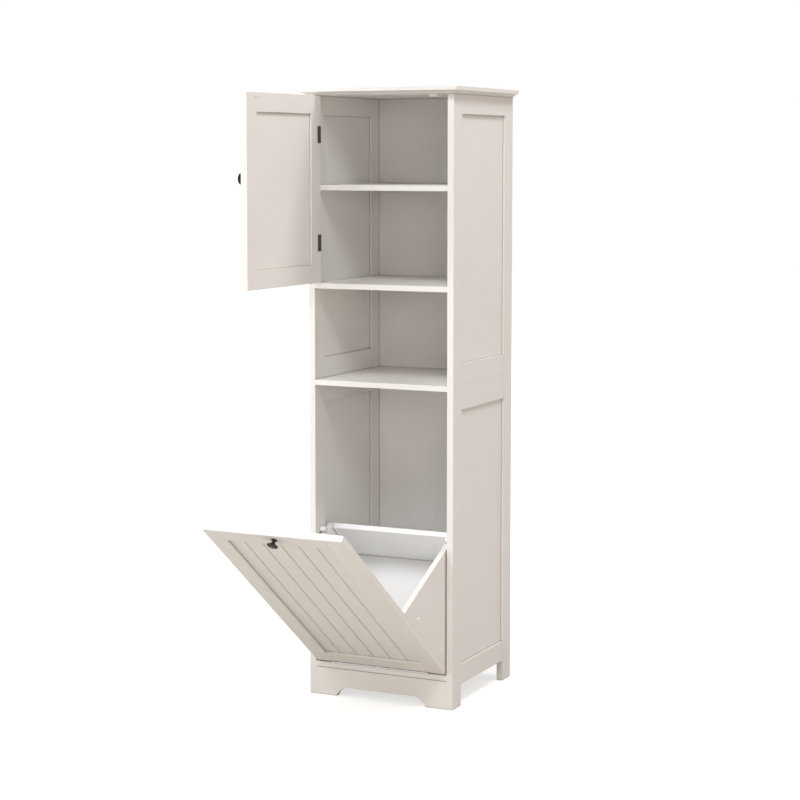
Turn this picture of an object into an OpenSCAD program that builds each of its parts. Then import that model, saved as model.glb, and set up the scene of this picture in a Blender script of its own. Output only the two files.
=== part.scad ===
// Tall cabinet with a door above, an open niche, and a tilt-out laundry hamper below.
// Millimetres. Origin on the floor at the centre of the cabinet's footprint, front towards -Y, up is +Z.

/* [Cabinet] */
// Width over the two sides
body_w = 440; // [420:1:480]
// Depth from the front edges of the sides to the back
body_d = 412; // [395:1:450]
// Height of the bottom board's underside above the floor
base_h = 80; // [76:1:100]
// Clear height of the laundry compartment
laundry_h = 784; // [740:1:820]
// Clear height of the open niche
niche_h = 255; // [220:1:300]
// Clear height of the cupboard behind the door
cupboard_h = 517.5; // [480:0.5:560]
// Thickness of the shelves and the bottom board
board_t = 15; // [14:0.5:18]
// Thickness of the back panels
back_t = 6; // [4:0.5:7]
// Width of the rebate in the sides that takes the back panels
rebate_w = 8; // [6:0.5:9]
// Side play of a back panel in its rebates
back_play = 0.5; // [0.2:0.1:1]

/* [Side frames] */
// Thickness of the side frames
side_t = 18; // [17:0.5:20]
// Width of the side stiles, front and rear
side_stile_w = 57; // [52:1:64]
// Height of the upper side frame's top rail
upper_top_rail_h = 54; // [45:1:65]
// Height of the upper side frame's bottom rail
upper_bottom_rail_h = 57; // [45:1:65]
// Height of the lower side frame's top rail
lower_top_rail_h = 69; // [55:1:80]
// Height of the lower side frame's bottom rail
lower_bottom_rail_h = 57; // [50:1:65]
// Clear height under the lower side rails, between the legs
leg_gap_h = 60; // [45:1:70]
// Thickness of the inset panels
panel_t = 5; // [4:0.5:6]
// Depth of the panels behind the outer faces of the frames
panel_recess = 7; // [5:0.5:8]
// Depth of the grooves that hold panels and rail tongues
groove_d = 8; // [6:0.5:10]
// End play of panels and tongues in their grooves
groove_play = 0.4; // [0.2:0.1:0.8]

/* [Top board] */
// Thickness of the top board
top_t = 18.5; // [17:0.5:24]
// Overhang of the top board over each side
top_over_side = 19; // [12:1:24]
// Overhang of the top board over the front
top_over_front = 26; // [18:1:32]
// Height of the moulded part under the square edge
moulding_h = 8.5; // [6:0.5:11]
// Flat underside left between the body and the moulding
moulding_flat = 3; // [2:0.5:5]

/* [Apron] */
// Thickness of the front apron
apron_t = 18; // [15:0.5:22]
// Set-back of the apron behind the front edges of the sides
apron_setback = 0; // [0:0.5:4]
// Gap between the apron and the bottom board over it
apron_gap = 1.5; // [0.5:0.5:3]
// Height of the apron's cut-out
cutout_h = 26; // [18:1:34]
// Half the cut-out's width at its top
cutout_half_top = 109; // [95:1:120]
// Half the cut-out's width at the floor
cutout_half_floor = 138; // [125:1:150]
// Bulge of the curved ends of the cut-out
cutout_bulge = 4.2; // [2:0.1:6]

/* [Cupboard shelf] */
// Height of the adjustable shelf's underside above the fixed shelf
shelf_lift = 256; // [180:1:320]
// Set-back of the adjustable shelf from the front
shelf_setback = 20; // [20:1:40]
// Side play of the adjustable shelf
shelf_play = 0.8; // [0.4:0.1:1.5]
// Diameter of the shelf pins
pin_d = 5; // [4:0.5:6]
// Length of a shelf pin outside its hole
pin_out = 8; // [6:0.5:11]
// Depth of the shelf pin holes
pin_in = 9; // [6:0.5:10]

/* [Door] */
// Thickness of the door
door_t = 18; // [17:0.5:20]
// Width of the door stiles
door_stile_w = 52; // [46:1:60]
// Height of the door rails
door_rail_h = 50; // [44:1:60]
// Gap between the hinge side and the door
door_hinge_gap = 2.6; // [2.4:0.1:3]
// Gap between the door and the other side
door_lock_gap = 2; // [1.5:0.1:3]
// Gap under the door
door_bottom_gap = 1.5; // [1:0.1:3]
// Gap over the door
door_top_gap = 2; // [1:0.1:3]
// Angle at which the door stands open
door_open = 90.7; // [60:0.1:110]
// Height of the door knob above the door's lower edge
door_knob_h = 290; // [220:1:320]
// Distance of the door knob from the free edge
door_knob_inset = 28; // [24:1:30]

/* [Door hinges] */
// Height of a door hinge
hinge_h = 46; // [40:1:54]
// Distance of the lower hinge's middle from the door's lower end
low_hinge_inset = 110.5; // [80:0.5:130]
// Distance of the upper hinge's middle from the door's upper end
top_hinge_inset = 106; // [80:0.5:130]
// Thickness of the door hinge leaves
leaf_t = 1; // [0.8:0.05:1]
// Outer diameter of the door hinge knuckles
barrel_d = 6; // [5.4:0.1:6]
// Diameter of the door hinge pins
hinge_pin_d = 3; // [2.5:0.1:3.4]
// Depth of the frame leaf on the side's inner face
frame_leaf_d = 20; // [16:0.5:24]
// Width of the door leaf that wraps onto the door's back
leaf_wrap = 17; // [13:0.5:20]
// Distance of the door hinge pins in front of the cabinet's front
hinge_pin_out = 3.2; // [3.2:0.1:4]
// Distance of a door hinge's screws from its middle
hinge_screw_off = 14; // [10:0.5:16]
// Distance of the frame leaf's screws behind the cabinet's front
frame_screw_in = 12; // [8:0.5:12.5]
// Distance of the door leaf's screws from the door's hinge edge
wrap_screw_in = 9.5; // [7:0.5:9.5]
// Radial running clearance of the moving knuckles
run_play = 0.06; // [0.03:0.01:0.1]
// Gap between neighbouring knuckles
knuckle_gap = 0.4; // [0.2:0.1:0.8]

/* [Hamper front] */
// Thickness of the hamper front
front_t = 18; // [17:0.5:20]
// Gap between the hamper front and each side
hamper_side_gap = 3; // [2:0.1:4]
// Gap between the bottom board and the hamper's stiles
hamper_bottom_gap = 1.5; // [1.2:0.1:1.9]
// Gap between the hamper front and the middle shelf
hamper_top_gap = 2; // [1.5:0.1:4]
// Width of the hamper front's stiles
hamper_stile_w = 49; // [44:1:56]
// Height of the hamper front's top rail
hamper_top_rail_h = 49; // [44:1:56]
// Height of the hamper front's bottom rail
hamper_bottom_rail_h = 53.5; // [44:0.5:60]
// Thickness of the grooved panel
bead_t = 8; // [7:0.5:9]
// Depth of the grooved panel behind the hamper front's face
bead_recess = 6; // [5:0.5:7]
// Width of the planks between the grooves
plank_w = 52; // [40:1:62]
// Width of a V groove
vee_w = 3.5; // [3:0.5:5]
// Depth of a V groove
vee_depth = 3; // [1.5:0.5:4]
// Distance of the hamper knob below the front's upper edge
hamper_knob_drop = 23; // [20:1:26]

/* [Hamper box] */
// Thickness of the hamper's side boards and back board
box_t = 15; // [12:0.5:16]
// Depth of the hamper from its front face to the rear of the box
box_d = 347.5; // [320:0.5:360]
// Height of the side boards at the front, above the bottom board
box_front_h = 345; // [300:1:380]
// Height of the box at the rear, above the bottom board
box_rear_h = 173; // [150:1:200]
// Rounding of the side boards' rear corner
box_corner_r = 10; // [6:0.5:14]
// Clearance between the hamper box and the bottom board
floor_lift = 3; // [2.5:0.1:5]
// Thickness of the hamper floor
floor_t = 9; // [6:0.5:12]
// Diameter of the fitting caps on the side boards
cap_d = 16; // [12:0.5:17]
// How far the caps stand proud
cap_out = 1.6; // [0.4:0.1:1.6]
// Depth of the fittings under the caps
cap_in = 10; // [6:0.5:11]
// Distance of the caps behind the hamper front
cap_inset = 27; // [20:1:35]
// Height of the upper caps above the bottom board
cap_high = 255; // [220:1:270]
// Height of the lower caps above the bottom board
cap_low = 62; // [45:1:80]

/* [Hamper hinge and stops] */
// Angle at which the hamper rests on its stops
hamper_tilt = 52.5; // [40:0.5:54]
// Height of the hamper hinge pin above the bottom board
hamper_pin_up = 2; // [1.9:0.1:2.2]
// Distance of the hamper hinge pin in front of the cabinet's front
hamper_pin_out = 2.3; // [2.3:0.1:3]
// Outer diameter of the hamper hinge knuckles
strip_barrel_d = 4.2; // [3.8:0.1:4.2]
// Diameter of the hamper hinge pin
strip_pin_d = 2; // [1.8:0.1:2.2]
// Thickness of the hamper hinge leaves
strip_leaf_t = 1; // [0.8:0.1:1]
// Depth of the hamper hinge leaves behind the pin
strip_leaf_d = 19; // [16:0.5:19.5]
// Clearance of the hamper hinge at each end
strip_end_gap = 1; // [0.5:0.1:3]
// Length of one knuckle of the hamper hinge
strip_knuckle = 20; // [15:1:30]
// Number of screws in each leaf of the hamper hinge
strip_screws = 5; // [3:1:7]
// Distance of the hamper hinge's screws behind its pin
strip_screw_in = 11.5; // [9:0.5:12.5]
// Diameter of the stop pegs
peg_d = 15; // [12:0.5:18]
// Length of the stop pegs outside the sides
peg_out = 17; // [13:0.5:17.5]
// Distance of the stop contact from the side boards' rear corner
stop_inset = 44.5; // [35:0.5:55]
// Clearance left between a side board and its stop peg
stop_gap = 0.3; // [0.2:0.1:0.6]

/* [Knobs and catch] */
// Diameter of a knob's head
knob_d = 30; // [24:1:34]
// Projection of a knob
knob_l = 20; // [19:0.5:26]
// Height of the domed face of a knob's head
knob_dome_h = 4; // [2:0.5:6]
// Diameter of a knob's foot
knob_foot_d = 16; // [12:1:20]
// Thickness of a knob's foot at its edge
knob_foot_t = 1.5; // [1:0.5:2.5]
// Diameter of a knob's neck
knob_neck_d = 7.5; // [6.5:0.5:10]
// Height of a knob's neck above its foot's face
knob_neck_h = 5; // [4:0.5:7]
// Diameter of the double-ended studs that hold the knobs
knob_stud_d = 4; // [3:0.5:5]
// Depth of a knob's stud in the wood behind it
knob_stud_in = 12; // [8:1:14]
// Depth of a knob's stud in the knob
knob_stud_out = 10; // [8:1:12]
// Width of the magnetic catch
catch_w = 24; // [20:1:30]
// Depth of the magnetic catch
catch_d = 15; // [12:1:20]
// Height of the magnetic catch
catch_h = 8; // [7:0.5:9]
// Distance of the catch's centre from the right side
catch_inset = 52; // [45:1:70]
// Distance of the screws of the catch and its strike plate from their middle
catch_screw_off = 8; // [6:0.5:8]
// Gap between the catch and its strike plate
catch_gap = 0.3; // [0.2:0.1:0.5]
// Height of the strike plate
strike_h = 12; // [10:1:16]
// Thickness of the strike plate
strike_t = 1; // [0.8:0.1:1.5]

/* [Fixings] */
// Diameter of the screws
screw_d = 3; // [2.5:0.5:3.5]
// Diameter of the screw heads
screw_head_d = 6; // [5:0.5:7]
// Length of the screws in the wood
screw_l = 11; // [9:0.5:12]
// Diameter of the dowels
dowel_d = 8; // [6:1:8]
// Half length of the dowels between the modules
dowel_half = 18; // [14:1:24]
// Depth of the dowels in the top board and the apron
dowel_short = 10; // [8:1:12]
// Distance of the dowels from the outer edges of the stiles
dowel_inset = 16; // [15:1:18]
// Diameter of the cams
cam_d = 15; // [12:1:15]
// Depth of the cams in their boards
cam_l = 12; // [11:0.5:12.5]
// Distance of the cams from the ends of their boards
cam_inset = 34; // [28:1:40]
// Diameter of the cam bolts
cam_bolt_d = 6; // [5:0.5:7]
// Depth of the cam bolts in the stiles
cam_bolt_in = 10; // [8:0.5:11]
// Distance of the cam bolts from the outer edges of the stiles
bolt_inset = 37; // [34:1:38]
// Diameter of the spigots that hold the stop pegs
spigot_d = 6; // [5:0.5:8]
// Height of the apron dowels above the floor
apron_dowel_h = 53; // [45:1:60]

/* [Hidden] */

$fn = 48;
paint = [0.93, 0.92, 0.89];
inside_paint = [0.86, 0.85, 0.83];
black = [0.13, 0.12, 0.12];
bronze = [0.28, 0.26, 0.25];
steel = [0.72, 0.72, 0.7];
beech = [0.8, 0.68, 0.5];
// How far a cutting shape runs past the face that it cuts
over = 1;

half_w = body_w / 2;
inner_half = half_w - side_t;
inner_w = 2 * inner_half;
front_y = -body_d / 2;
back_y = body_d / 2;
back_face_y = back_y - back_t;

floor_z = base_h + board_t;
middle_z = floor_z + laundry_h;
module_z = middle_z + board_t;
fixed_z = module_z + niche_h;
cupboard_z = fixed_z + board_t;
shelf_z = cupboard_z + shelf_lift;
body_top = cupboard_z + cupboard_h;
apron_y = front_y + apron_setback;
apron_dowel_y = apron_y + apron_t / 2;

tongue = groove_d - groove_play;
side_rail_l = body_d - 2 * side_stile_w;

door_w = inner_w - door_hinge_gap - door_lock_gap;
door_h = cupboard_h - door_bottom_gap - door_top_gap;
door_x = -inner_half + door_hinge_gap;
door_z = cupboard_z + door_bottom_gap;
door_rail_l = door_w - 2 * door_stile_w;
door_pin = [-inner_half + door_hinge_gap / 2, front_y - hinge_pin_out];
door_leaf_d = hinge_pin_out + door_t + leaf_t;
hinge_z = [door_z + low_hinge_inset, door_z + door_h - top_hinge_inset];
door_knob_x = door_x + door_w - door_knob_inset;

hamper_w = inner_w - 2 * hamper_side_gap;
hamper_half = hamper_w / 2;
hamper_z = floor_z + hamper_bottom_gap;
hamper_l = laundry_h - hamper_bottom_gap - hamper_top_gap;
hamper_open_w = hamper_w - 2 * hamper_stile_w;
hamper_pin_y = front_y - hamper_pin_out;
hamper_pin_z = floor_z + hamper_pin_up;
hamper_rail_z = hamper_pin_z + hamper_pin_up;
hamper_rail_lift = hamper_rail_z - hamper_z;
hamper_knob_z = hamper_z + hamper_l - hamper_knob_drop;
box_half = hamper_half - box_t;
box_y = front_y + front_t;
box_z = floor_z + floor_lift;
box_back_y = front_y + box_d - box_t;
box_slope = atan2(box_front_h - box_rear_h, box_d - front_t);
strip_l = hamper_open_w - 2 * strip_end_gap;
strip_count = 2 * floor(strip_l / (2 * strip_knuckle)) + 1;

// The stop pegs' centre: off the sloped edge of the closed box, turned with it about the hinge pin
stop_off = peg_d / 2 + stop_gap;
stop_closed = [
    front_y + box_d - stop_inset * cos(box_slope) + stop_off * sin(box_slope) - hamper_pin_y,
    floor_z + box_rear_h + stop_inset * sin(box_slope) + stop_off * cos(box_slope) - hamper_pin_z
];
peg_y = hamper_pin_y + stop_closed[0] * cos(hamper_tilt) - stop_closed[1] * sin(hamper_tilt);
peg_z = hamper_pin_z + stop_closed[0] * sin(hamper_tilt) + stop_closed[1] * cos(hamper_tilt);

catch_x = inner_half - catch_inset;
catch_y = front_y + door_t + strike_t + catch_gap;
strike_z = door_z + door_h - strike_h;

// Distances of the shelf pins and cam bolts from the front of the cabinet
fixing_ys = [front_y + bolt_inset, back_y - bolt_inset];
cam_boards = [base_h, middle_z, fixed_z];
// Shares of a module's height at which the back panel screws sit
back_screw_shares = [0.06, 0.35, 0.65, 0.94];
back_screw_x = inner_half + rebate_w / 2;
frame_screw_y = front_y + frame_screw_in;
wrap_screw_x = door_x + wrap_screw_in;
strip_screw_y = hamper_pin_y + strip_screw_in;
strip_screw_xs = [for (i = [0:strip_screws - 1]) (i - (strip_screws - 1) / 2) * strip_l / strip_screws];

// Draws its children, which are made for the right side, on the chosen side
module on_side(left) {
    if (left) mirror([1, 0, 0]) children();
    else children();
}

// From a frame's own axes (x across, y from its face to its back, z up) to the right side
module side_axes() {
    translate([half_w, front_y, 0]) rotate([0, 0, 90]) children();
}

// A screw along -z with its flat head's top at the origin, let into a leaf of the given thickness
module screw(head_t) {
    translate([0, 0, -head_t]) cylinder(d = screw_head_d, h = head_t);
    translate([0, 0, -head_t - screw_l]) cylinder(d = screw_d, h = screw_l + head_t / 2);
}

// The hole for such a screw
module screw_hole(head_t) {
    translate([0, 0, -head_t]) cylinder(d = screw_head_d, h = head_t + over);
    translate([0, 0, -head_t - screw_l]) cylinder(d = screw_d, h = screw_l + head_t + over);
}

// A stile in a frame's own axes, with its outer edge at x = 0 and a groove in its inner edge
module stile(w, t, z0, z1, groove_z0, groove_z1, recess, tongue_t) {
    difference() {
        translate([0, 0, z0]) cube([w, t, z1 - z0]);
        translate([w - groove_d, recess, groove_z0])
            cube([groove_d + over, tongue_t, groove_z1 - groove_z0 + over]);
    }
}

// A rail from x = 0 to its length, with end tongues and a groove along its upper or lower edge
module rail(l, h, t, recess, tongue_t, groove_up) {
    difference() {
        union() {
            cube([l, t, h]);
            translate([-tongue, recess, 0]) cube([l + 2 * tongue, tongue_t, h]);
        }
        translate([-tongue - over, recess, groove_up ? h - groove_d : -over])
            cube([l + 2 * (tongue + over), tongue_t, groove_d + over]);
    }
}

// An inset panel for an opening l wide and h high, held in the grooves around it
module inset(l, h, t, recess) {
    translate([-tongue, recess, -tongue]) cube([l + 2 * tongue, t, h + 2 * tongue]);
}

// Holes in the inner faces of the side stiles, drawn for the right side
module side_bores() {
    for (y = fixing_ys) {
        for (z = cam_boards)
            translate([inner_half - over, y, z + board_t / 2]) rotate([0, 90, 0])
                cylinder(d = cam_bolt_d, h = cam_bolt_in + over);
        translate([inner_half - over, y, shelf_z - pin_d / 2]) rotate([0, 90, 0])
            cylinder(d = pin_d, h = pin_in + over);
    }
    for (y = [front_y + dowel_inset, back_y - dowel_inset]) {
        translate([half_w - side_t / 2, y, module_z - dowel_half])
            cylinder(d = dowel_d, h = 2 * dowel_half);
        translate([half_w - side_t / 2, y, body_top - dowel_half])
            cylinder(d = dowel_d, h = dowel_half + over);
    }
    translate([inner_half - over, apron_dowel_y, apron_dowel_h]) rotate([0, 90, 0])
        cylinder(d = dowel_d, h = dowel_short + over);
    translate([inner_half - over, peg_y, peg_z]) rotate([0, 90, 0])
        cylinder(d = spigot_d, h = cam_bolt_in + over);
    for (m = [[base_h, module_z], [module_z, body_top]], s = back_screw_shares)
        translate([back_screw_x, back_y, m[0] + s * (m[1] - m[0])]) rotate([-90, 0, 0])
            screw_hole(back_t / 2);
}

// Holes of the door hinges' frame leaves, on the left side only
module frame_leaf_bores() {
    for (z = hinge_z, k = [-1, 1])
        translate([-inner_half + leaf_t, frame_screw_y, z + k * hinge_screw_off]) rotate([0, 90, 0])
            screw_hole(leaf_t);
}

module side_stile(left, upper, rear) {
    z0 = upper ? module_z : 0;
    z1 = upper ? body_top : module_z;
    groove_z0 = upper ? module_z : leg_gap_h;
    color(paint) difference() {
        on_side(left) side_axes()
            if (rear) translate([body_d, 0, 0]) mirror([1, 0, 0])
                stile(side_stile_w, side_t, z0, z1, groove_z0, z1, panel_recess, panel_t);
            else stile(side_stile_w, side_t, z0, z1, groove_z0, z1, panel_recess, panel_t);
        on_side(left) side_bores();
        if (rear) on_side(left)
            translate([inner_half - over, back_face_y, base_h])
                cube([rebate_w + over, back_t + over, body_top - base_h + over]);
        if (left) frame_leaf_bores();
    }
}

module side_rail(left, z, h, groove_up) {
    color(paint) on_side(left) side_axes() translate([side_stile_w, 0, z])
        rail(side_rail_l, h, side_t, panel_recess, panel_t, groove_up);
}

module side_panel(left, z0, z1) {
    color(paint) on_side(left) side_axes() translate([side_stile_w, 0, z0])
        inset(side_rail_l, z1 - z0, panel_t, panel_recess);
}

module upper_side_panel(left) {
    side_panel(left, module_z + upper_bottom_rail_h, body_top - upper_top_rail_h);
}

module lower_side_panel(left) {
    side_panel(left, leg_gap_h + lower_bottom_rail_h, module_z - lower_top_rail_h);
}

// Material to remove under an overhang of the top board, running along x, with the body's face at y = 0
module cove(run, l) {
    depth = run - moulding_flat;
    r = (depth * depth + moulding_h * moulding_h) / (2 * moulding_h);
    intersection() {
        translate([-l / 2, -run, moulding_h - r]) rotate([0, 90, 0]) cylinder(r = r, h = l, $fn = 96);
        translate([-l / 2, -run - over, -over]) cube([l, depth + over, moulding_h + over]);
    }
}

module top_board() {
    w = body_w + 2 * top_over_side;
    d = body_d + top_over_front;
    color(paint) difference() {
        translate([-w / 2, front_y - top_over_front, body_top]) cube([w, d, top_t]);
        translate([0, front_y, body_top]) cove(top_over_front, w + 2 * over);
        for (k = [-1, 1])
            translate([k * half_w, 0, body_top]) rotate([0, 0, k * 90])
                cove(top_over_side, 2 * (d + over));
        for (x = [-1, 1] * (half_w - side_t / 2), y = [front_y + dowel_inset, back_y - dowel_inset])
            translate([x, y, body_top - over]) cylinder(d = dowel_d, h = dowel_short + over);
        translate([catch_x, catch_y + catch_d / 2, body_top - catch_h])
            for (k = [-1, 1]) translate([k * catch_screw_off, 0, 0]) rotate([180, 0, 0])
                screw_hole(catch_h - screw_l / 2);
    }
}

module back_panel(z0, z1) {
    w = inner_w + 2 * (rebate_w - back_play);
    color(inside_paint) difference() {
        translate([-w / 2, back_face_y, z0]) cube([w, back_t, z1 - z0]);
        for (k = [-1, 1], s = back_screw_shares)
            translate([k * back_screw_x, back_y, z0 + s * (z1 - z0)]) rotate([-90, 0, 0])
                screw_hole(back_t / 2);
    }
}

// A board between the sides, held by cams let in from below
module cam_board(z) {
    color(paint) difference() {
        translate([-inner_half, front_y, z]) cube([inner_w, back_face_y - front_y, board_t]);
        for (k = [-1, 1], y = fixing_ys) {
            translate([k * (inner_half - cam_inset), y, z - over]) cylinder(d = cam_d, h = cam_l + over);
            translate([k * (inner_half + over), y, z + board_t / 2]) rotate([0, -k * 90, 0])
                cylinder(d = cam_bolt_d, h = cam_inset + over);
        }
    }
}

module bottom_board() {
    difference() {
        cam_board(base_h);
        for (x = strip_screw_xs)
            translate([x, strip_screw_y, floor_z + strip_leaf_t]) screw_hole(strip_leaf_t);
    }
}

module adjustable_shelf() {
    w = inner_w - 2 * shelf_play;
    color(paint) translate([-w / 2, front_y + shelf_setback, shelf_z])
        cube([w, back_face_y - front_y - shelf_setback, board_t]);
}

module shelf_pins() {
    color(steel) for (left = [false, true], y = fixing_ys) on_side(left)
        translate([inner_half - pin_out, y, shelf_z - pin_d / 2]) rotate([0, 90, 0])
            cylinder(d = pin_d, h = pin_out + pin_in);
}

// Point of the cut-out's curved end, from the top (0) to the floor (1)
function cutout_point(t) =
    let (run = cutout_half_floor - cutout_half_top, chord = norm([run, cutout_h]),
         bulge = 4 * cutout_bulge * t * (1 - t))
    [cutout_half_top + run * t + bulge * cutout_h / chord, cutout_h * (1 - t) + bulge * run / chord];

module front_apron() {
    steps = 8;
    apron_h = base_h - apron_gap;
    curve = [for (i = [0:steps]) cutout_point(i / steps)];
    outline = concat(
        [[-inner_half, apron_h], [-inner_half, 0]],
        [for (i = [steps:-1:0]) [-curve[i][0], curve[i][1]]],
        curve,
        [[inner_half, 0], [inner_half, apron_h]]
    );
    color(paint) difference() {
        translate([0, apron_y + apron_t, 0]) rotate([90, 0, 0]) linear_extrude(apron_t) polygon(outline);
        for (k = [-1, 1])
            translate([k * (inner_half + over), apron_dowel_y, apron_dowel_h]) rotate([0, -k * 90, 0])
                cylinder(d = dowel_d, h = dowel_half + over);
    }
}

module dowels() {
    color(beech) for (left = [false, true]) on_side(left) {
        for (y = [front_y + dowel_inset, back_y - dowel_inset]) {
            translate([half_w - side_t / 2, y, module_z - dowel_half])
                cylinder(d = dowel_d, h = 2 * dowel_half);
            translate([half_w - side_t / 2, y, body_top - dowel_half])
                cylinder(d = dowel_d, h = dowel_half + dowel_short);
        }
        translate([inner_half - dowel_half, apron_dowel_y, apron_dowel_h]) rotate([0, 90, 0])
            cylinder(d = dowel_d, h = dowel_half + dowel_short);
    }
}

module cam_fittings() {
    color(steel) for (left = [false, true], y = fixing_ys, z = cam_boards) on_side(left) {
        translate([inner_half - cam_inset, y, z]) cylinder(d = cam_d, h = cam_l);
        translate([inner_half - cam_inset + cam_d / 2, y, z + board_t / 2]) rotate([0, 90, 0])
            cylinder(d = cam_bolt_d, h = cam_inset - cam_d / 2 + cam_bolt_in);
    }
}

module cabinet_screws() {
    color(steel) {
        for (z = hinge_z, k = [-1, 1])
            translate([-inner_half + leaf_t, frame_screw_y, z + k * hinge_screw_off]) rotate([0, 90, 0])
                screw(leaf_t);
        for (x = strip_screw_xs)
            translate([x, strip_screw_y, floor_z + strip_leaf_t]) screw(strip_leaf_t);
        for (k = [-1, 1], m = [[base_h, module_z], [module_z, body_top]], s = back_screw_shares)
            translate([k * back_screw_x, back_y, m[0] + s * (m[1] - m[0])]) rotate([-90, 0, 0])
                screw(back_t / 2);
        translate([catch_x, catch_y + catch_d / 2, body_top - catch_h])
            for (k = [-1, 1]) translate([k * catch_screw_off, 0, 0]) rotate([180, 0, 0])
                screw(catch_h - screw_l / 2);
    }
}

module magnetic_catch() {
    color(paint) difference() {
        translate([catch_x - catch_w / 2, catch_y, body_top - catch_h]) cube([catch_w, catch_d, catch_h]);
        translate([catch_x, catch_y + catch_d / 2, body_top - catch_h])
            for (k = [-1, 1]) translate([k * catch_screw_off, 0, 0]) rotate([180, 0, 0])
                screw_hole(catch_h - screw_l / 2);
    }
}

module stop_pegs() {
    color(paint) for (left = [false, true]) on_side(left)
        translate([inner_half - peg_out, peg_y, peg_z]) rotate([0, 90, 0]) {
            cylinder(d = peg_d, h = peg_out);
            cylinder(d = spigot_d, h = peg_out + cam_bolt_in);
        }
}

// Half of a hinge in its own axes: the pin along z from 0, the leaf along +y with its near face at x0
module hinge_half(l, count, parity, barrel, bore, x0, t, depth) {
    kl = (l - (count - 1) * knuckle_gap) / count;
    notch = barrel / 2 + knuckle_gap;
    difference() {
        union() {
            translate([x0, notch, 0]) cube([t, depth - notch, l]);
            for (i = [parity:2:count - 1]) translate([0, 0, i * (kl + knuckle_gap)]) {
                cylinder(d = barrel, h = kl);
                translate([x0, 0, 0]) cube([t, notch + t, kl]);
            }
        }
        translate([0, 0, -over]) cylinder(d = bore, h = l + 2 * over);
    }
}

module at_door_hinges() {
    for (z = hinge_z) translate([door_pin[0], door_pin[1], z - hinge_h / 2]) children();
}

module hinge_frame_leaves() {
    color(bronze) difference() {
        at_door_hinges() hinge_half(hinge_h, 3, 0, barrel_d, hinge_pin_d, -door_hinge_gap / 2, leaf_t,
                                    hinge_pin_out + frame_leaf_d);
        frame_leaf_bores();
    }
}

module hinge_pins() {
    color(bronze) at_door_hinges() translate([0, 0, -leaf_t])
        cylinder(d = hinge_pin_d, h = hinge_h + 2 * leaf_t);
}

// From the hamper hinge's own axes (pin along z) to the cabinet's
module at_hamper_hinge() {
    translate([-strip_l / 2, hamper_pin_y, hamper_pin_z]) rotate([0, 90, 0]) children();
}

module hamper_hinge_fixed_leaf() {
    color(bronze) difference() {
        at_hamper_hinge() hinge_half(strip_l, strip_count, 0, strip_barrel_d, strip_pin_d,
                                     hamper_pin_up - strip_leaf_t, strip_leaf_t, strip_leaf_d);
        for (x = strip_screw_xs)
            translate([x, strip_screw_y, floor_z + strip_leaf_t]) screw_hole(strip_leaf_t);
    }
}

module hamper_hinge_pin() {
    color(steel) at_hamper_hinge() cylinder(d = strip_pin_d, h = strip_l);
}

// Turns the closed door, drawn in its opening, to the angle at which it stands open
module opened() {
    translate([door_pin[0], door_pin[1], 0]) rotate([0, 0, -door_open])
        translate([-door_pin[0], -door_pin[1], 0]) children();
}

// From the door's own axes (x across, y from its face to its back, z up) to the closed door
module door_axes() {
    translate([door_x, front_y, door_z]) children();
}

// Holes in the door for its hinges, knob and strike plate, drawn for the closed door
module door_bores() {
    for (z = hinge_z, k = [-1, 1])
        translate([wrap_screw_x, front_y + door_t + leaf_t, z + k * hinge_screw_off]) rotate([-90, 0, 0])
            screw_hole(leaf_t);
    for (k = [-1, 1])
        translate([catch_x + k * catch_screw_off, front_y + door_t + strike_t, strike_z + strike_h / 2])
            rotate([-90, 0, 0]) screw_hole(strike_t);
    at_door_knob() knob_bore();
}

module door_stile() {
    stile(door_stile_w, door_t, 0, door_h, -over, door_h, panel_recess, panel_t);
}

module door_hinge_stile() {
    color(paint) opened() difference() {
        door_axes() door_stile();
        door_bores();
    }
}

module door_lock_stile() {
    color(paint) opened() difference() {
        door_axes() translate([door_w, 0, 0]) mirror([1, 0, 0]) door_stile();
        door_bores();
    }
}

module door_rail(z, groove_up) {
    color(paint) opened() difference() {
        door_axes() translate([door_stile_w, 0, z])
            rail(door_rail_l, door_rail_h, door_t, panel_recess, panel_t, groove_up);
        door_bores();
    }
}

module door_panel() {
    color(paint) opened() door_axes() translate([door_stile_w, 0, door_rail_h])
        inset(door_rail_l, door_h - 2 * door_rail_h, panel_t, panel_recess);
}

// Half of a knob's outline between two heights, flaring from the neck's radius at z0 to r at z1
function knob_flare(r, z0, z1, steps) = [
    for (i = [0:steps])
        [knob_neck_d / 2 + (r - knob_neck_d / 2) * pow(i / steps, 2), z0 + (z1 - z0) * i / steps]
];

// A turned knob along +z from its foot at the origin, with the hole for its screw
module knob() {
    steps = 8;
    rim_z = knob_l - knob_dome_h;
    foot = knob_flare(knob_foot_d / 2, knob_neck_h, knob_foot_t, steps);
    profile = concat(
        [[0, 0], [knob_foot_d / 2, 0]],
        [for (i = [steps:-1:0]) foot[i]],
        [for (p = knob_flare(knob_d / 2, knob_neck_h, rim_z, steps)) if (p[1] > knob_neck_h) p],
        [for (i = [1:steps - 1], turn = 90 * i / steps)
            [knob_d / 2 * cos(turn), rim_z + knob_dome_h * sin(turn)]],
        [[0, knob_l]]
    );
    difference() {
        rotate_extrude() polygon(profile);
        translate([0, 0, -over]) cylinder(d = knob_stud_d, h = knob_stud_out + over);
    }
}

// A knob's stud, with the knob's foot at the origin
module knob_stud() {
    translate([0, 0, -knob_stud_in]) cylinder(d = knob_stud_d, h = knob_stud_in + knob_stud_out);
}

// The hole in the wood for a knob's stud
module knob_bore() {
    translate([0, 0, -knob_stud_in]) cylinder(d = knob_stud_d, h = knob_stud_in + over);
}

module at_door_knob() {
    translate([door_knob_x, front_y, door_z + door_knob_h]) rotate([90, 0, 0]) children();
}

module door_knob() {
    color(black) opened() at_door_knob() knob();
}

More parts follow.
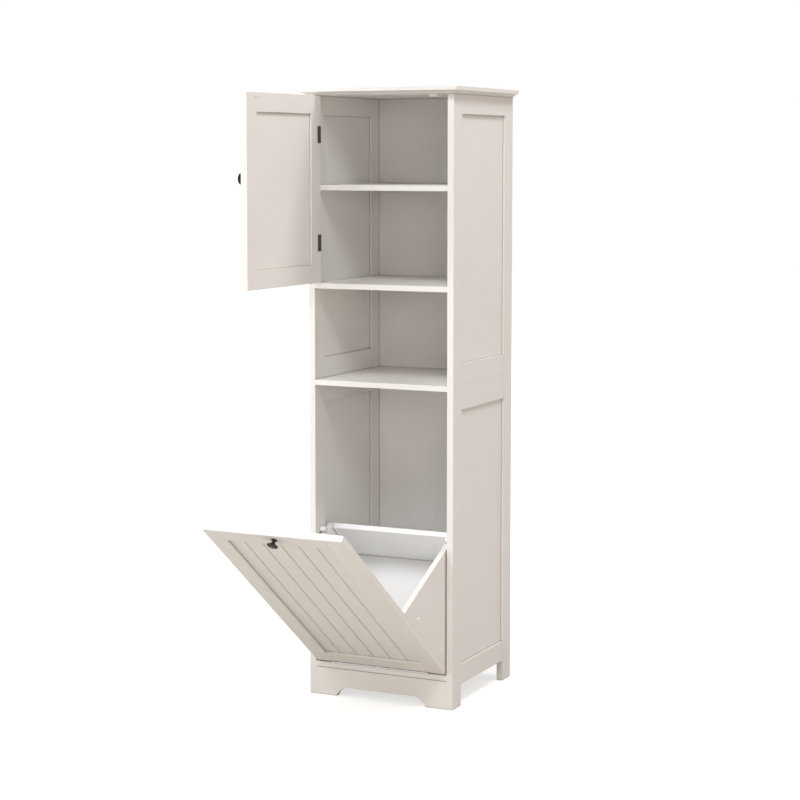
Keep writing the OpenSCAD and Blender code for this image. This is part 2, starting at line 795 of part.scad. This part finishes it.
module door_hinge_leaves() {
    color(bronze) opened() difference() {
        at_door_hinges() {
            hinge_half(hinge_h, 3, 1, barrel_d, hinge_pin_d + 2 * run_play, door_hinge_gap / 2 - leaf_t,
                       leaf_t, door_leaf_d);
            translate([door_hinge_gap / 2 - leaf_t, door_leaf_d - leaf_t, 0])
                cube([leaf_t + leaf_wrap, leaf_t, hinge_h]);
        }
        door_bores();
    }
}

module door_screws() {
    color(bronze) opened() {
        for (z = hinge_z, k = [-1, 1])
            translate([wrap_screw_x, front_y + door_t + leaf_t, z + k * hinge_screw_off])
                rotate([-90, 0, 0]) screw(leaf_t);
        for (k = [-1, 1])
            translate([catch_x + k * catch_screw_off, front_y + door_t + strike_t, strike_z + strike_h / 2])
                rotate([-90, 0, 0]) screw(strike_t);
        at_door_knob() knob_stud();
    }
}

module door_strike_plate() {
    color(steel) opened() difference() {
        translate([catch_x - catch_w / 2, front_y + door_t, strike_z]) cube([catch_w, strike_t, strike_h]);
        door_bores();
    }
}

// Tilts the closed hamper about its hinge pin until its sides rest on the stop pegs
module tilted() {
    translate([0, hamper_pin_y, hamper_pin_z]) rotate([hamper_tilt, 0, 0])
        translate([0, -hamper_pin_y, -hamper_pin_z]) children();
}

// From the hamper front's own axes (x across, y from its face to its back, z up) to the closed hamper
module hamper_axes() {
    translate([-hamper_half, front_y, hamper_z]) children();
}

// Holes in the hamper for its hinge and knob, drawn for the closed hamper
module hamper_bores() {
    for (x = strip_screw_xs)
        translate([x, strip_screw_y, hamper_rail_z - strip_leaf_t]) rotate([180, 0, 0])
            screw_hole(strip_leaf_t);
    at_hamper_knob() knob_bore();
}

module hamper_stile(left) {
    color(paint) tilted() on_side(left) hamper_axes() translate([hamper_w, 0, 0]) mirror([1, 0, 0])
        stile(hamper_stile_w, front_t, 0, hamper_l, hamper_rail_lift, hamper_l, bead_recess, bead_t);
}

module hamper_rail(z, h, groove_up) {
    color(paint) tilted() difference() {
        hamper_axes() translate([hamper_stile_w, 0, z])
            rail(hamper_open_w, h, front_t, bead_recess, bead_t, groove_up);
        hamper_bores();
    }
}

module hamper_bead_panel() {
    open_h = hamper_l - hamper_rail_lift - hamper_bottom_rail_h - hamper_top_rail_h;
    vees = floor((hamper_open_w / 2 - vee_w) / plank_w);
    back = bead_recess + bead_t;
    outline = concat(
        [[-tongue, back], [-tongue, bead_recess]],
        [for (i = [-vees:vees], q = [-1:1])
            [hamper_open_w / 2 + i * plank_w + q * vee_w / 2, bead_recess + (1 - abs(q)) * vee_depth]],
        [[hamper_open_w + tongue, bead_recess], [hamper_open_w + tongue, back]]
    );
    color(paint) tilted() hamper_axes()
        translate([hamper_stile_w, 0, hamper_rail_lift + hamper_bottom_rail_h - tongue])
            linear_extrude(open_h + 2 * tongue) polygon(outline);
}

// Outline of a hamper side board in the cabinet's y and z
function box_outline() =
    let (steps = 8, phi = 90 - box_slope,
         c = [front_y + box_d - box_corner_r, floor_z + box_rear_h - box_corner_r * tan(phi / 2)])
    concat(
        [[box_y, box_z], [front_y + box_d, box_z]],
        [for (i = [0:steps]) c + box_corner_r * [cos(phi * i / steps), sin(phi * i / steps)]],
        [[box_y, floor_z + box_front_h]]
    );

module cap_places() {
    for (z = [cap_low, cap_high])
        translate([hamper_half + cap_out, box_y + cap_inset, floor_z + z]) rotate([0, -90, 0]) children();
}

module hamper_side(left) {
    color(paint) tilted() on_side(left) difference() {
        translate([box_half, 0, 0]) rotate([90, 0, 90]) linear_extrude(box_t) polygon(box_outline());
        cap_places() cylinder(d = cap_d, h = cap_out + cap_in);
    }
}

module hamper_back() {
    color(paint) tilted() translate([-box_half, box_back_y, box_z])
        cube([2 * box_half, box_t, floor_z + box_rear_h - box_z]);
}

module hamper_floor() {
    color(paint) tilted() translate([-box_half, box_y, box_z])
        cube([2 * box_half, box_back_y - box_y, floor_t]);
}

module hamper_hinge_moving_leaf() {
    color(bronze) tilted() difference() {
        at_hamper_hinge() hinge_half(strip_l, strip_count, 1, strip_barrel_d, strip_pin_d + 2 * run_play,
                                     -hamper_pin_up, strip_leaf_t, strip_leaf_d);
        hamper_bores();
    }
}

module at_hamper_knob() {
    translate([0, front_y, hamper_knob_z]) rotate([90, 0, 0]) children();
}

module hamper_knob() {
    color(black) tilted() at_hamper_knob() knob();
}

module hamper_cam_caps() {
    color(inside_paint) tilted() for (left = [false, true]) on_side(left)
        cap_places() cylinder(d = cap_d, h = cap_out + cap_in);
}

module hamper_screws() {
    color(steel) tilted() {
        for (x = strip_screw_xs)
            translate([x, strip_screw_y, hamper_rail_z - strip_leaf_t]) rotate([180, 0, 0])
                screw(strip_leaf_t);
        at_hamper_knob() knob_stud();
    }
}

side_stile(true, true, false);  // left_upper_front_stile
side_stile(true, true, true);  // left_upper_rear_stile
side_rail(true, body_top - upper_top_rail_h, upper_top_rail_h, false);  // left_upper_top_rail
side_rail(true, module_z, upper_bottom_rail_h, true);  // left_upper_bottom_rail
upper_side_panel(true);  // left_upper_panel
side_stile(true, false, false);  // left_lower_front_stile
side_stile(true, false, true);  // left_lower_rear_stile
side_rail(true, module_z - lower_top_rail_h, lower_top_rail_h, false);  // left_lower_top_rail
side_rail(true, leg_gap_h, lower_bottom_rail_h, true);  // left_lower_bottom_rail
lower_side_panel(true);  // left_lower_panel
side_stile(false, true, false);  // right_upper_front_stile
side_stile(false, true, true);  // right_upper_rear_stile
side_rail(false, body_top - upper_top_rail_h, upper_top_rail_h, false);  // right_upper_top_rail
side_rail(false, module_z, upper_bottom_rail_h, true);  // right_upper_bottom_rail
upper_side_panel(false);  // right_upper_panel
side_stile(false, false, false);  // right_lower_front_stile
side_stile(false, false, true);  // right_lower_rear_stile
side_rail(false, module_z - lower_top_rail_h, lower_top_rail_h, false);  // right_lower_top_rail
side_rail(false, leg_gap_h, lower_bottom_rail_h, true);  // right_lower_bottom_rail
lower_side_panel(false);  // right_lower_panel
top_board();
back_panel(module_z, body_top);  // upper_back_panel
back_panel(base_h, module_z);  // lower_back_panel
adjustable_shelf();
shelf_pins();
cam_board(fixed_z);  // fixed_shelf
cam_board(middle_z);  // middle_shelf
bottom_board();
front_apron();
dowels();
cam_fittings();
cabinet_screws();
magnetic_catch();
stop_pegs();
hinge_frame_leaves();
hinge_pins();
hamper_hinge_fixed_leaf();
hamper_hinge_pin();
door_hinge_stile();
door_lock_stile();
door_rail(door_h - door_rail_h, false);  // door_top_rail
door_rail(0, true);  // door_bottom_rail
door_panel();
door_knob();
door_hinge_leaves();
door_screws();
door_strike_plate();
hamper_stile(true);  // hamper_left_stile
hamper_stile(false);  // hamper_right_stile
hamper_rail(hamper_l - hamper_top_rail_h, hamper_top_rail_h, false);  // hamper_top_rail
hamper_rail(hamper_rail_lift, hamper_bottom_rail_h, true);  // hamper_bottom_rail
hamper_bead_panel();
hamper_side(true);  // hamper_left_side
hamper_side(false);  // hamper_right_side
hamper_back();
hamper_floor();
hamper_hinge_moving_leaf();
hamper_knob();
hamper_cam_caps();
hamper_screws();
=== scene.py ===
import math
import bpy
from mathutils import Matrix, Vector


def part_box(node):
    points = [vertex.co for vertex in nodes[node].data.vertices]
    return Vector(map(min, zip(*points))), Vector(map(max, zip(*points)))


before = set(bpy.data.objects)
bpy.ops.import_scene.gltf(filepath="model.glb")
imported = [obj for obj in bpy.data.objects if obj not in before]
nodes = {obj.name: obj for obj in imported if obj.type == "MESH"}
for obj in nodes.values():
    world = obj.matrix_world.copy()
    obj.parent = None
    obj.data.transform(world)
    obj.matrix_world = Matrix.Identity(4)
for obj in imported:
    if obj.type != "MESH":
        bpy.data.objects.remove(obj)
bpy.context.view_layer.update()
scene = bpy.context.scene

# Camera, from the vanishing lines of the cabinet
IMAGE_WIDTH_PX = 800
FOCAL_PX = 2028.35
SENSOR_MM = 36
CAMERA_PLACE = (2.4378, -5.1806, 1.5119)
CAMERA_TURN = math.radians(25.54)
CAMERA_DOWN = math.radians(5.49)
CAMERA_SHIFT = -0.06

# Floor as the camera sees it: its glow near the cabinet, the radius that keeps the shadow, and the one
# from which it is plain white
FLOOR_SIZE = 40
FLOOR_COLOUR = (0.6, 0.6, 0.6)
FLOOR_ROUGHNESS = 0.9
NEAR_GLOW = 0.61
SHADOW_REACH = 0.7
WHITE_FROM = 2.2
# Colour of the light that the floor throws back onto the cabinet
FLOOR_BOUNCE = (0.62, 0.58, 0.515)

# Light of the world, and the place that every lamp faces
WORLD_FILL = (1.0, 0.99, 0.98)
WORLD_FILL_STRENGTH = 0.2
LAMP_AIM = Vector((0, 0, 0.9))

# Colours of the finishes
PAINT = (0.875, 0.860, 0.835)
PAINT_TINT = (0.850, 0.834, 0.806)
BOARD = (0.830, 0.815, 0.790)
BOARD_TINT = (0.800, 0.785, 0.758)
# Lower back panel's front: a paler board as painted light, for light the laundry compartment lacks
PALE_BOARD_PAINTED_LIGHT = (0.930, 0.918, 0.898)
PALE_BOARD_PAINTED_LIGHT_TINT = (0.905, 0.892, 0.870)
# Hamper's inside back and left side: a neutral white, made paler as painted light for bounce light they lack
LINING_PAINTED_LIGHT = (0.925, 0.928, 0.928)
LINING_PAINTED_LIGHT_TINT = (0.905, 0.907, 0.906)
# Hamper's floor: a neutral white, made greyer as painted shade
BASE_BOARD_PAINTED_SHADE = (0.800, 0.803, 0.805)
BASE_BOARD_PAINTED_SHADE_TINT = (0.780, 0.782, 0.783)
PLASTIC = (0.91, 0.90, 0.88)
PLASTIC_LIGHT = (0.95, 0.94, 0.92)
BEECH = (0.62, 0.43, 0.26)
BEECH_LIGHT = (0.72, 0.54, 0.36)
KNOB_BLACK = (0.006, 0.006, 0.007)
KNOB_LIGHT = (0.014, 0.013, 0.012)
HINGE_DARK = (0.065, 0.058, 0.050)
HINGE_LIGHT = (0.13, 0.118, 0.104)
ZINC_DARK = (0.52, 0.52, 0.53)
ZINC_LIGHT = (0.66, 0.66, 0.66)

# How a pattern is stretched along one direction: the smallest number is the direction of the grain
UPRIGHT_GRAIN = (6.0, 6.0, 0.6)
CROSS_GRAIN = (0.6, 6.0, 6.0)
DEPTH_GRAIN = (6.0, 0.6, 6.0)
BEECH_GRAIN = (6.0, 60.0, 60.0)
HINGE_BRUSHING = (40.0, 40.0, 400.0)

# Noise: how fine it is unless a finish says otherwise, and the range that its values hardly leave
NOISE_DETAIL = 3.0
NOISE_ROUGHNESS = 0.55
NOISE_LOW = 0.25
NOISE_HIGH = 0.75

# Painted shade of the white finishes near an inner corner: the shade's colour, how far it reaches in metres,
# and the open share of the surroundings at which it is full and at which it is gone
CREVICE_SHADE = (0.50, 0.47, 0.435)
CREVICE_SHADE_REACH = 0.0045
CREVICE_SHADE_FULL = 0.5
CREVICE_SHADE_GONE = 0.95
CREVICE_SHADE_SAMPLES = 6

# Where one node's screws change their finish: past the door's hinge stile, and beside the cabinet's hinges
DOOR_SCREWS_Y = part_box("door_hinge_stile")[0][1]
HINGE_SIDE_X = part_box("hinge_frame_leaves")[1][0]
HINGE_LOW_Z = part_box("hinge_frame_leaves")[0][2]
CABINET_MIDDLE_Y = 0.0
# Middle of the back panels' thickness, where their front's finish, with the lower panel's painted light,
# ends
PANEL_MIDDLE_Y = (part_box("lower_back_panel")[0][1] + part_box("lower_back_panel")[1][1]) / 2

# Softened edges: their width in metres, how they are built, and what counts as one corner, flat or sharp
WOOD_EDGE = 0.0006
METAL_EDGE = 0.0002
EDGE_SEGMENTS = 3
SAME_CORNER = 1e-5
FLAT_BELOW = math.radians(0.5)
SHARP_ABOVE = math.radians(35)


def add_camera():
    data = bpy.data.cameras.new("camera")
    data.sensor_width = SENSOR_MM
    data.lens = FOCAL_PX / IMAGE_WIDTH_PX * SENSOR_MM
    data.shift_y = CAMERA_SHIFT
    camera = bpy.data.objects.new("camera", data)
    camera.location = CAMERA_PLACE
    camera.rotation_euler = (math.pi / 2 - CAMERA_DOWN, 0, CAMERA_TURN)
    scene.collection.objects.link(camera)
    scene.camera = camera


class Graph:
    """A new material's node tree, with short ways to add nodes to it."""

    def __init__(self, name):
        self.material = bpy.data.materials.new(name)
        self.material.use_nodes = True
        self.tree = self.material.node_tree
        self.shader = self.tree.nodes["Principled BSDF"]

    def add(self, kind, **settings):
        made = self.tree.nodes.new(kind)
        for key, value in settings.items():
            setattr(made, key, value)
        return made

    def join(self, source, target):
        self.tree.links.new(source, target)

    def wire(self, **sockets):
        """Joins sockets to the shader."""
        names = {"color": "Base Color", "roughness": "Roughness", "normal": "Normal", "metallic": "Metallic"}
        for key, value in sockets.items():
            self.join(value, self.shader.inputs[names[key]])

    def place(self, stretch=(1, 1, 1)):
        """Object coordinates, stretched so that a pattern can run along one direction."""
        coords = self.add("ShaderNodeTexCoord")
        mapping = self.add("ShaderNodeMapping")
        mapping.inputs["Scale"].default_value = stretch
        self.join(coords.outputs["Object"], mapping.inputs["Vector"])
        return mapping.outputs["Vector"]

    def axes(self, place):
        made = self.add("ShaderNodeSeparateXYZ")
        self.join(place, made.inputs["Vector"])
        return made.outputs

    def noise(self, place, scale, detail):
        made = self.add("ShaderNodeTexNoise")
        made.inputs["Scale"].default_value = scale
        made.inputs["Detail"].default_value = detail
        made.inputs["Roughness"].default_value = NOISE_ROUGHNESS
        self.join(place, made.inputs["Vector"])
        return made.outputs["Fac"]

    def spread(self, value, low, high):
        """A noise value, or a choice of 0 or 1, stretched onto low..high."""
        made = self.add("ShaderNodeMapRange")
        made.inputs["From Min"].default_value = NOISE_LOW
        made.inputs["From Max"].default_value = NOISE_HIGH
        made.inputs["To Min"].default_value = low
        made.inputs["To Max"].default_value = high
        self.join(value, made.inputs["Value"])
        return made.outputs["Result"]

    def drift(self, place, scale, detail=NOISE_DETAIL):
        """A value that wanders between 0 and 1 over the surface."""
        return self.spread(self.noise(place, scale, detail), low=0, high=1)

    def blend(self, value, first, second):
        """A colour between two: the first where the value is 0 and the second where it is 1."""
        made = self.add("ShaderNodeMix", data_type="RGBA")
        self.join(value, made.inputs["Factor"])
        made.inputs["A"].default_value = (*first, 1)
        made.inputs["B"].default_value = (*second, 1)
        return made.outputs["Result"]

    def choose(self, value, first, second):
        """One of two sockets: the first where the value is 0 and the second where it is 1."""
        made = self.add("ShaderNodeMix", data_type="RGBA")
        self.join(value, made.inputs["Factor"])
        self.join(first, made.inputs["A"])
        self.join(second, made.inputs["B"])
        return made.outputs["Result"]

    def math(self, operation, first, second):
        """The result of a Math node on a socket and a socket or number."""
        made = self.add("ShaderNodeMath", operation=operation)
        self.join(first, made.inputs[0])
        if isinstance(second, (int, float)):
            made.inputs[1].default_value = second
        else:
            self.join(second, made.inputs[1])
        return made.outputs["Value"]

    def painted_crevice_shade(self, color):
        """A colour with painted shade, darker in grooves, seams and inner corners where less light gets."""
        open_share = self.add("ShaderNodeAmbientOcclusion", samples=CREVICE_SHADE_SAMPLES)
        open_share.inputs["Distance"].default_value = CREVICE_SHADE_REACH
        ramp = self.add("ShaderNodeMapRange")
        ramp.inputs["From Min"].default_value = CREVICE_SHADE_FULL
        ramp.inputs["From Max"].default_value = CREVICE_SHADE_GONE
        self.join(open_share.outputs["AO"], ramp.inputs["Value"])
        made = self.add("ShaderNodeMix", data_type="RGBA")
        self.join(ramp.outputs["Result"], made.inputs["Factor"])
        made.inputs["A"].default_value = (*CREVICE_SHADE, 1)
        self.join(color, made.inputs["B"])
        return made.outputs["Result"]

    def sheen(self, place, low, high, scale, detail=NOISE_DETAIL):
        """Lets the roughness wander between two values over the surface."""
        self.wire(roughness=self.spread(self.noise(place, scale, detail), low, high))

    def bump(self, place, strength, depth, scale, detail=NOISE_DETAIL, under=None):
        """The normals of a fine relief, laid over another one where that is given."""
        made = self.add("ShaderNodeBump")
        made.inputs["Strength"].default_value = strength
        made.inputs["Distance"].default_value = depth
        self.join(self.noise(place, scale, detail), made.inputs["Height"])
        if under is not None:
            self.join(under, made.inputs["Normal"])
        return made.outputs["Normal"]


def satin_paint(name, base, tint, grain):
    """Sprayed satin paint: a faint drift of tone, fine orange peel and a ghost of the board's grain."""
    g = Graph(name)
    place = g.place()
    along = g.place(grain)
    drift = g.drift(place, scale=5.0, detail=2.0)
    # Painted shade darkens the paint in grooves, seams and inner corners
    g.wire(color=g.painted_crevice_shade(g.blend(drift, base, tint)))
    g.sheen(place, low=0.40, high=0.50, scale=60.0, detail=4.0)
    peel = g.bump(place, strength=0.10, depth=0.0004, scale=650.0, detail=2.0)
    g.wire(normal=g.bump(along, strength=0.06, depth=0.0006, scale=30.0, detail=4.0, under=peel))
    g.shader.inputs["Specular IOR Level"].default_value = 0.4
    return g.material


def white_hardboard(name, base, tint):
    """Thin hardboard, a little duller than paint; a paler front is painted light; all rears keep one tone.
    """
    g = Graph(name)
    place = g.place()
    drift = g.drift(place, scale=9.0, detail=4.0)
    # The rear takes the plain board tone, so a paler front's painted light stays at the front
    rear = g.math("GREATER_THAN", g.axes(place)["Y"], PANEL_MIDDLE_Y)
    tone = g.choose(rear, g.blend(drift, base, tint), g.blend(drift, BOARD, BOARD_TINT))
    # Painted shade darkens the board in grooves, seams and inner corners
    g.wire(color=g.painted_crevice_shade(tone))
    g.sheen(place, low=0.48, high=0.62, scale=90.0)
    g.wire(normal=g.bump(place, strength=0.12, depth=0.0004, scale=420.0))
    return g.material


def beech():
    """Beech dowel: fine pale grain along the pin."""
    g = Graph("beech")
    along = g.place(BEECH_GRAIN)
    g.wire(color=g.blend(g.drift(along, scale=12.0, detail=6.0), BEECH, BEECH_LIGHT))
    g.sheen(along, low=0.55, high=0.7, scale=30.0)
    g.wire(normal=g.bump(along, strength=0.2, depth=0.0003, scale=60.0))
    return g.material


def white_plastic():
    """Moulded plastic of the caps, pegs, shelf pins and catch, with a very fine spark texture."""
    g = Graph("white_plastic")
    place = g.place()
    g.wire(color=g.blend(g.drift(place, scale=40.0), PLASTIC, PLASTIC_LIGHT))
    g.sheen(place, low=0.28, high=0.38, scale=300.0)
    g.wire(normal=g.bump(place, strength=0.12, depth=0.0001, scale=2600.0, detail=2.0))
    return g.material


def black_knob():
    """Black powder coat on the knobs, with soft highlights and fine texture."""
    g = Graph("black_knob")
    place = g.place()
    g.wire(color=g.blend(g.drift(place, scale=120.0, detail=4.0), KNOB_BLACK, KNOB_LIGHT))
    g.sheen(place, low=0.42, high=0.55, scale=260.0)
    g.wire(normal=g.bump(place, strength=0.18, depth=0.0002, scale=1500.0, detail=2.0))
    g.shader.inputs["Specular IOR Level"].default_value = 0.35
    return g.material


def dark_hinge():
    """Dark bronzed steel of the door's hinges, brushed across."""
    g = Graph("dark_hinge")
    place = g.place()
    along = g.place(HINGE_BRUSHING)
    g.wire(color=g.blend(g.drift(place, scale=90.0, detail=5.0), HINGE_DARK, HINGE_LIGHT))
    g.sheen(along, low=0.38, high=0.55, scale=3.0, detail=4.0)
    g.wire(normal=g.bump(along, strength=0.12, depth=0.0002, scale=4.0))
    g.shader.inputs["Metallic"].default_value = 0.35
    return g.material


def plated_steel():
    """Zinc plate on the fittings and on the hamper's continuous hinge."""
    g = Graph("plated_steel")
    place = g.place()
    g.wire(color=g.blend(g.drift(place, scale=150.0, detail=5.0), ZINC_DARK, ZINC_LIGHT))
    g.sheen(place, low=0.22, high=0.40, scale=400.0, detail=4.0)
    g.wire(normal=g.bump(place, strength=0.10, depth=0.0002, scale=900.0))
    g.shader.inputs["Metallic"].default_value = 1.0
    return g.material


def enamelled_steel():
    """The strike plate's white enamel."""
    g = Graph("enamelled_steel")
    place = g.place()
    g.wire(color=g.blend(g.drift(place, scale=30.0), PAINT_TINT, PAINT))
    g.sheen(place, low=0.30, high=0.42, scale=300.0)
    g.wire(normal=g.bump(place, strength=0.10, depth=0.0002, scale=800.0))
    return g.material


def door_screw_heads():
    """Screws in the door: bronzed at its hinges, and white where they hold the strike plate."""
    g = Graph("door_screw_heads")
    place = g.place()
    drift = g.drift(place, scale=90.0, detail=5.0)
    far = g.math("LESS_THAN", g.axes(place)["Y"], DOOR_SCREWS_Y)
    bronze = g.blend(drift, HINGE_DARK, HINGE_LIGHT)
    white = g.blend(drift, PAINT_TINT, PAINT)
    g.wire(color=g.choose(far, bronze, white))
    g.wire(metallic=g.spread(far, low=0.5, high=0.0))
    g.sheen(place, low=0.32, high=0.48, scale=300.0)
    g.wire(normal=g.bump(place, strength=0.10, depth=0.0002, scale=900.0))
    return g.material


def cabinet_screw_heads():
    """Screws in the cabinet: bronzed at the door's hinges and zinc-plated elsewhere."""
    g = Graph("cabinet_screw_heads")
    place = g.place()
    axes = g.axes(place)
    drift = g.drift(place, scale=120.0, detail=5.0)
    left = g.math("LESS_THAN", axes["X"], HINGE_SIDE_X)
    front = g.math("LESS_THAN", axes["Y"], CABINET_MIDDLE_Y)
    high = g.math("GREATER_THAN", axes["Z"], HINGE_LOW_Z)
    at_hinge = g.math("MULTIPLY", g.math("MULTIPLY", left, front), high)
    zinc = g.blend(drift, ZINC_DARK, ZINC_LIGHT)
    bronze = g.blend(drift, HINGE_DARK, HINGE_LIGHT)
    g.wire(color=g.choose(at_hinge, zinc, bronze))
    g.wire(metallic=g.spread(at_hinge, low=1.0, high=0.5))
    g.sheen(place, low=0.25, high=0.42, scale=400.0, detail=4.0)
    g.wire(normal=g.bump(place, strength=0.10, depth=0.0002, scale=900.0))
    return g.material


finishes = {
    "upright": satin_paint("white_paint_upright", PAINT, PAINT_TINT, UPRIGHT_GRAIN),
    "cross": satin_paint("white_paint_cross", PAINT, PAINT_TINT, CROSS_GRAIN),
    "depth": satin_paint("white_paint_depth", PAINT, PAINT_TINT, DEPTH_GRAIN),
    "lining_painted_light": satin_paint("white_lining", LINING_PAINTED_LIGHT, LINING_PAINTED_LIGHT_TINT, CROSS_GRAIN),
    "base_board_painted_shade": satin_paint("white_base_board", BASE_BOARD_PAINTED_SHADE, BASE_BOARD_PAINTED_SHADE_TINT, CROSS_GRAIN),
    "hardboard": white_hardboard("white_hardboard", BOARD, BOARD_TINT),
    "pale_board_painted_light": white_hardboard("pale_hardboard_painted_light", PALE_BOARD_PAINTED_LIGHT, PALE_BOARD_PAINTED_LIGHT_TINT),
    "beech": beech(),
    "plastic": white_plastic(),
    "knob": black_knob(),
    "hinge": dark_hinge(),
    "steel": plated_steel(),
    "enamel": enamelled_steel(),
    "door_screws": door_screw_heads(),
    "cabinet_screws": cabinet_screw_heads(),
}

# Which finish a node takes, by the last words of its name; what isn't named is upright paint
FINISH_OF = {
    # The hamper's inside back and left side take a paler white as painted light
    "lining_painted_light": ("hamper_back", "hamper_left_side"),
    # The hamper's floor takes a greyer white as painted shade
    "base_board_painted_shade": ("hamper_floor",),
    "cross": ("top_board", "front_apron", "shelf", "bottom_board", "door_top_rail", "door_bottom_rail",
              "hamper_top_rail", "hamper_bottom_rail"),
    "depth": ("top_rail", "bottom_rail"),
    # The lower back panel's paler front is painted light
    "pale_board_painted_light": ("lower_back_panel",),
    "hardboard": ("back_panel",),
    "beech": ("dowels",),
    "plastic": ("cam_caps", "stop_pegs", "magnetic_catch", "shelf_pins"),
    "knob": ("knob",),
    "hinge": ("hinge_frame_leaves", "hinge_pins", "door_hinge_leaves"),
    "enamel": ("strike_plate",),
    "door_screws": ("door_screws",),
    "cabinet_screws": ("cabinet_screws",),
    "steel": ("hamper_screws", "cam_fittings", "hinge_fixed_leaf", "hinge_moving_leaf", "hinge_pin"),
}
# The finishes of wooden boards, which have the wider softened edges
WHITE = ("upright", "cross", "depth", "lining_painted_light", "base_board_painted_shade", "hardboard", "pale_board_painted_light")


def finish_of(name):
    for finish, endings in FINISH_OF.items():
        if name.endswith(endings):
            return finish
    return "upright"


def soften(node, width):
    """Rounds the sharp edges of a solid, as sanding and paint leave them."""
    weld = node.modifiers.new("weld", "WELD")
    weld.merge_threshold = SAME_CORNER
    flat = node.modifiers.new("flat", "DECIMATE")
    flat.decimate_type = "DISSOLVE"
    flat.angle_limit = FLAT_BELOW
    bevel = node.modifiers.new("bevel", "BEVEL")
    bevel.width = width
    bevel.segments = EDGE_SEGMENTS
    bevel.limit_method = "ANGLE"
    bevel.angle_limit = SHARP_ABOVE
    bevel.harden_normals = True


def dress(name, node):
    """Gives a node its finish and softened edges."""
    finish = finish_of(name)
    node.data.materials.clear()
    node.data.materials.append(finishes[finish])
    soften(node, WOOD_EDGE if finish in WHITE else METAL_EDGE)


def direct_rays(tree):
    """1 for rays that the camera, a reflection or a clear surface sends, and 0 for light."""
    rays = tree.nodes.new("ShaderNodeLightPath")
    found = rays.outputs["Is Camera Ray"]
    for other in ("Is Glossy Ray", "Is Transmission Ray"):
        either = tree.nodes.new("ShaderNodeMath")
        either.operation = "MAXIMUM"
        tree.links.new(found, either.inputs[0])
        tree.links.new(rays.outputs[other], either.inputs[1])
        found = either.outputs["Value"]
    return found


def mix_by_ray(tree, light, seen, surface):
    """Joins one shader to the surface for light, and another for what is seen."""
    mix = tree.nodes.new("ShaderNodeMixShader")
    tree.links.new(direct_rays(tree), mix.inputs["Fac"])
    tree.links.new(light, mix.inputs[1])
    tree.links.new(seen, mix.inputs[2])
    tree.links.new(mix.outputs["Shader"], surface)


def light_world():
    """A white world for the camera and for reflections, and a dimmer one for light."""
    world = bpy.data.worlds.new("world")
    scene.world = world
    world.use_nodes = True
    tree = world.node_tree
    fill = tree.nodes["Background"]
    fill.inputs["Color"].default_value = (*WORLD_FILL, 1)
    fill.inputs["Strength"].default_value = WORLD_FILL_STRENGTH
    white = tree.nodes.new("ShaderNodeBackground")
    white.inputs["Color"].default_value = (1, 1, 1, 1)
    white.inputs["Strength"].default_value = 1.0
    surface = tree.nodes["World Output"].inputs["Surface"]
    mix_by_ray(tree, fill.outputs["Background"], white.outputs["Background"], surface)


def add_area(name, place, size, power, colour):
    """A square soft box that faces the middle of the cabinet."""
    data = bpy.data.lights.new(name, "AREA")
    data.size = size
    data.energy = power
    data.color = colour
    lamp = bpy.data.objects.new(name, data)
    lamp.location = place
    lamp.rotation_euler = (LAMP_AIM - Vector(place)).to_track_quat("-Z", "Y").to_euler()
    scene.collection.objects.link(lamp)


def add_lamps():
    """Soft boxes at the front and the sides, with one high at the right that shades the crown."""
    add_area("front_right_high", place=(1.6, -3.4, 4.6), size=1.6, power=88, colour=(0.985, 0.995, 1.0))
    add_area("front_right_low", place=(2.4, -4.6, 1.8), size=1.6, power=39, colour=(1.0, 0.90, 0.865))
    add_area("front_left_high", place=(-1.8, -3.6, 4.2), size=2.0, power=86, colour=(0.97, 0.99, 1.0))
    add_area("left_low", place=(-4.2, -2.6, 0.9), size=1.6, power=85, colour=(1.0, 0.96, 0.92))
    add_area("right_side", place=(3.5, 1.07, 3.6), size=0.6, power=20, colour=(1.0, 0.72, 0.60))
    add_area("right_high", place=(2.0, 0.5, 4.8), size=1.2, power=71, colour=(1.0, 0.97, 0.955))


def distance_glow(tree):
    """Glow of the floor: modest round the cabinet, where its shadow lies, and full white far off."""
    coords = tree.nodes.new("ShaderNodeTexCoord")
    away = tree.nodes.new("ShaderNodeVectorMath")
    away.operation = "LENGTH"
    tree.links.new(coords.outputs["Object"], away.inputs[0])
    ramp = tree.nodes.new("ShaderNodeMapRange")
    ramp.interpolation_type = "SMOOTHSTEP"
    ramp.inputs["From Min"].default_value = SHADOW_REACH
    ramp.inputs["From Max"].default_value = WHITE_FROM
    ramp.inputs["To Min"].default_value = NEAR_GLOW
    ramp.inputs["To Max"].default_value = 1.0
    tree.links.new(away.outputs["Value"], ramp.inputs["Value"])
    glow = tree.nodes.new("ShaderNodeEmission")
    tree.links.new(ramp.outputs["Result"], glow.inputs["Strength"])
    return glow


def add_floor():
    """A wide pale floor that shows white, takes the soft shadow and throws slightly warm light back."""
    bpy.ops.mesh.primitive_plane_add(size=FLOOR_SIZE, location=(0, 0, 0))
    floor = bpy.context.object
    floor.name = "floor"
    material = bpy.data.materials.new("floor_white")
    material.use_nodes = True
    tree = material.node_tree
    shader = tree.nodes["Principled BSDF"]
    shader.inputs["Base Color"].default_value = (*FLOOR_COLOUR, 1)
    shader.inputs["Roughness"].default_value = FLOOR_ROUGHNESS
    bounce = tree.nodes.new("ShaderNodeBsdfDiffuse")
    bounce.inputs["Color"].default_value = (*FLOOR_BOUNCE, 1)
    lit = tree.nodes.new("ShaderNodeAddShader")
    tree.links.new(shader.outputs["BSDF"], lit.inputs[0])
    tree.links.new(distance_glow(tree).outputs["Emission"], lit.inputs[1])
    surface = tree.nodes["Material Output"].inputs["Surface"]
    mix_by_ray(tree, bounce.outputs["BSDF"], lit.outputs["Shader"], surface)
    floor.data.materials.append(material)


scene.view_settings.view_transform = "Standard"
add_camera()
light_world()
add_lamps()
add_floor()
for name, node in nodes.items():
    dress(name, node)
